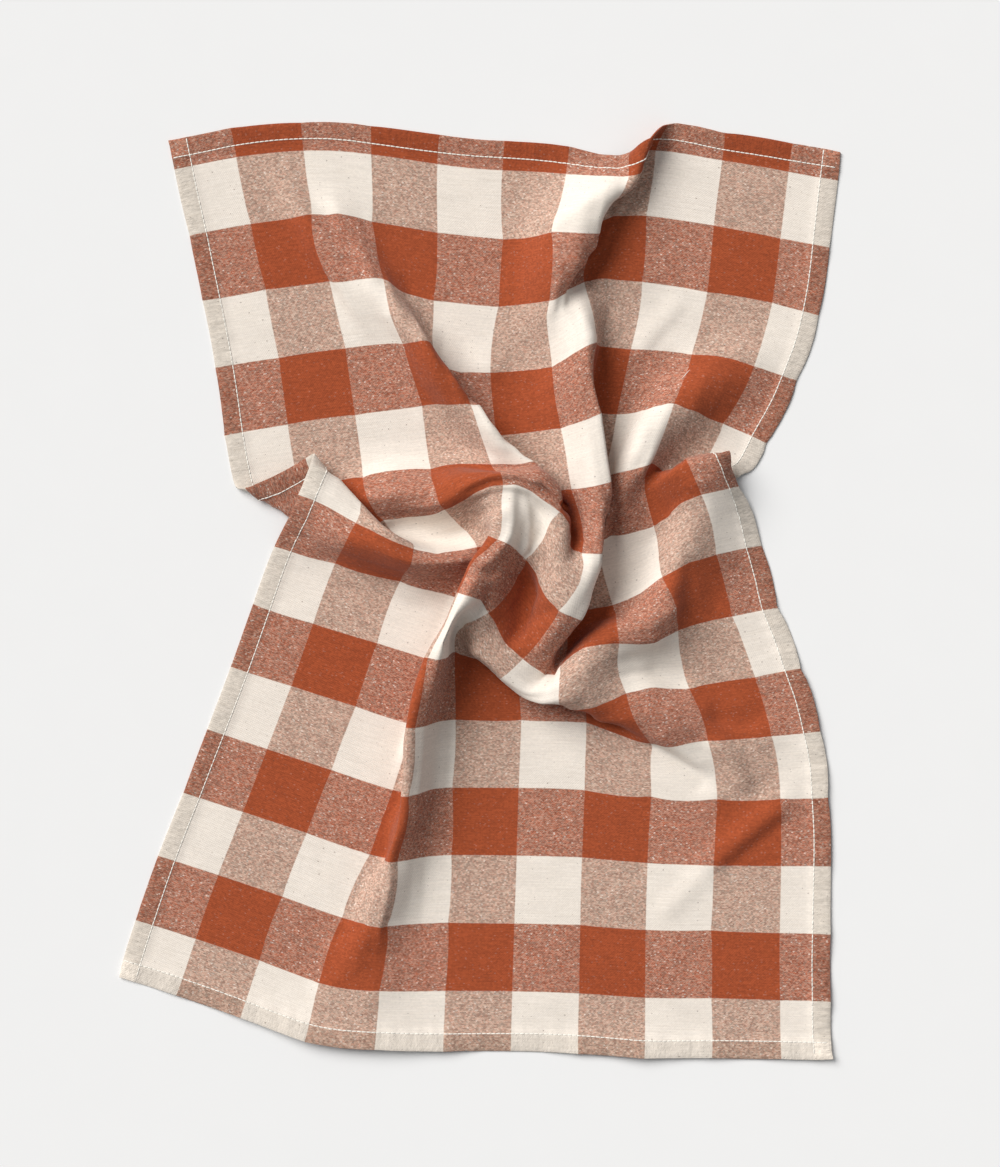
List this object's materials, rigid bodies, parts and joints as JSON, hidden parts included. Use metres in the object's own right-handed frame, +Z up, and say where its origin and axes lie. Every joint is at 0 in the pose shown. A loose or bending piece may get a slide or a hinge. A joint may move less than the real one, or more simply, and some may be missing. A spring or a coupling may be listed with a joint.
{
  "type": "tea towel",
  "caption": "Checked cotton tea towel with hemmed edges, lying flat and pinched into folds with a twist at its middle, for drying dishes and dressing a table.",
  "frame": {"origin": "on the table under the middle of the towel's outline", "axes": "+Z up from the table, +Y towards the towel's top hem, +X towards its right side hem, seen from above"},
  "size_m": [0.4944, 0.6428, 0.0468],
  "materials": {
    "cloth": "plain-woven cotton gingham in rust and cream, matt, with a dry slubby hand"
  },
  "bodies": {
    "root": {"towel_cloth": "cloth"}
  },
  "joints": []
}
